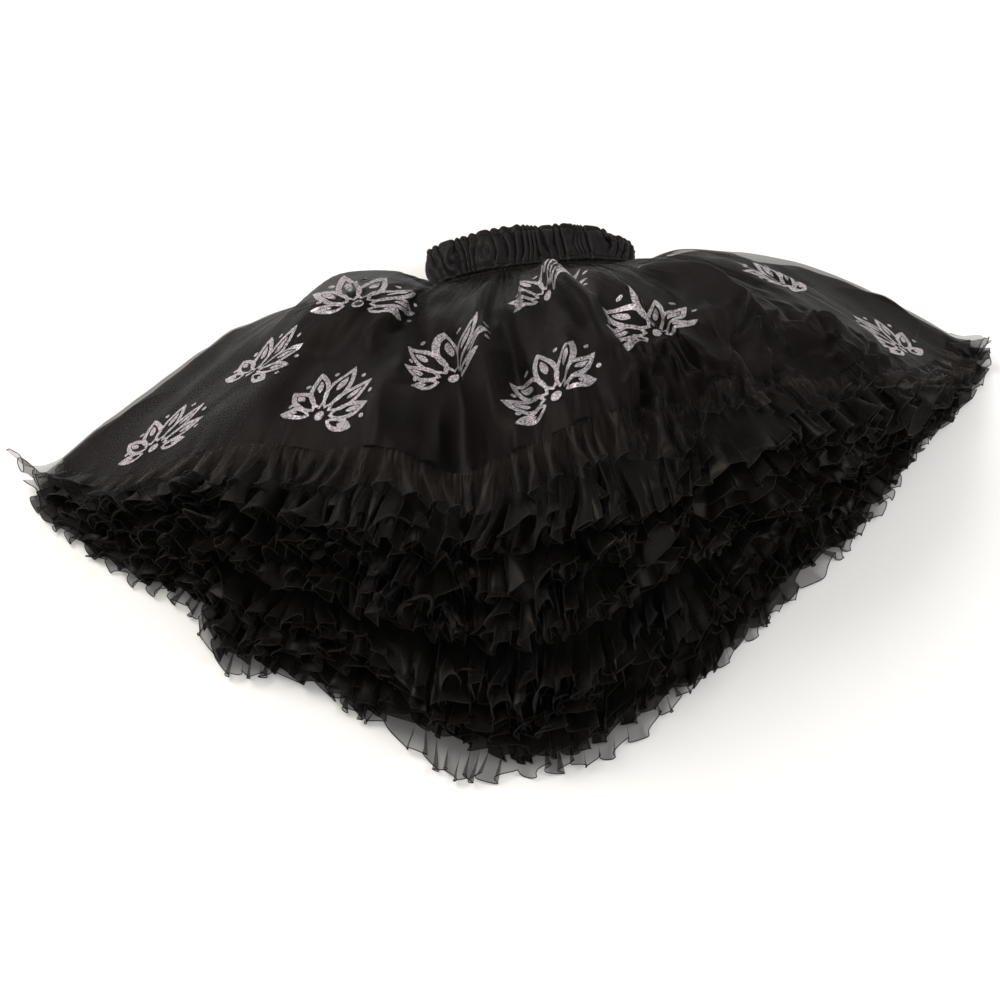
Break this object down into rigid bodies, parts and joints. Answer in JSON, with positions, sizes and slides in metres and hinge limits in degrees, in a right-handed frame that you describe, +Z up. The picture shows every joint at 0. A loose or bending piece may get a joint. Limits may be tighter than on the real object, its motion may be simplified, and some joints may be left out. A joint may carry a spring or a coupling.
{
  "type": "tutu skirt",
  "caption": "Child's black tutu skirt lying on its back: gathered waistband, sheer overskirt and ruffled net petticoat layers spread as a fan.",
  "frame": {"origin": "centre of the skirt's footprint on the surface that it lies on", "axes": "+Z up from the surface, -Y from the waist towards the hem, +X to the right as seen from the hem"},
  "size_m": [0.6638, 0.3886, 0.1578],
  "materials": {
    "casing": "matt black satin, gathered over elastic",
    "organza": "sheer black organza with a soft sheen and silver glitter print",
    "net": "plain black net",
    "ruffle": "gathered black organza ruffle"
  },
  "bodies": {
    "root": {"waistband": "casing", "overskirt_back": "organza", "overskirt_front": "organza", "overskirt_trim_back": "organza", "overskirt_trim_front": "organza", "petticoat_outer_back": "net", "petticoat_middle_back": "net", "petticoat_inner_back": "net", "petticoat_inner_front": "net", "petticoat_middle_front": "net", "petticoat_outer_front": "net", "flounce_outer_back": "ruffle", "flounce_middle_back": "ruffle", "flounce_inner_back": "ruffle", "flounce_inner_front": "ruffle", "flounce_middle_front": "ruffle", "flounce_outer_front": "ruffle"}
  },
  "joints": []
}
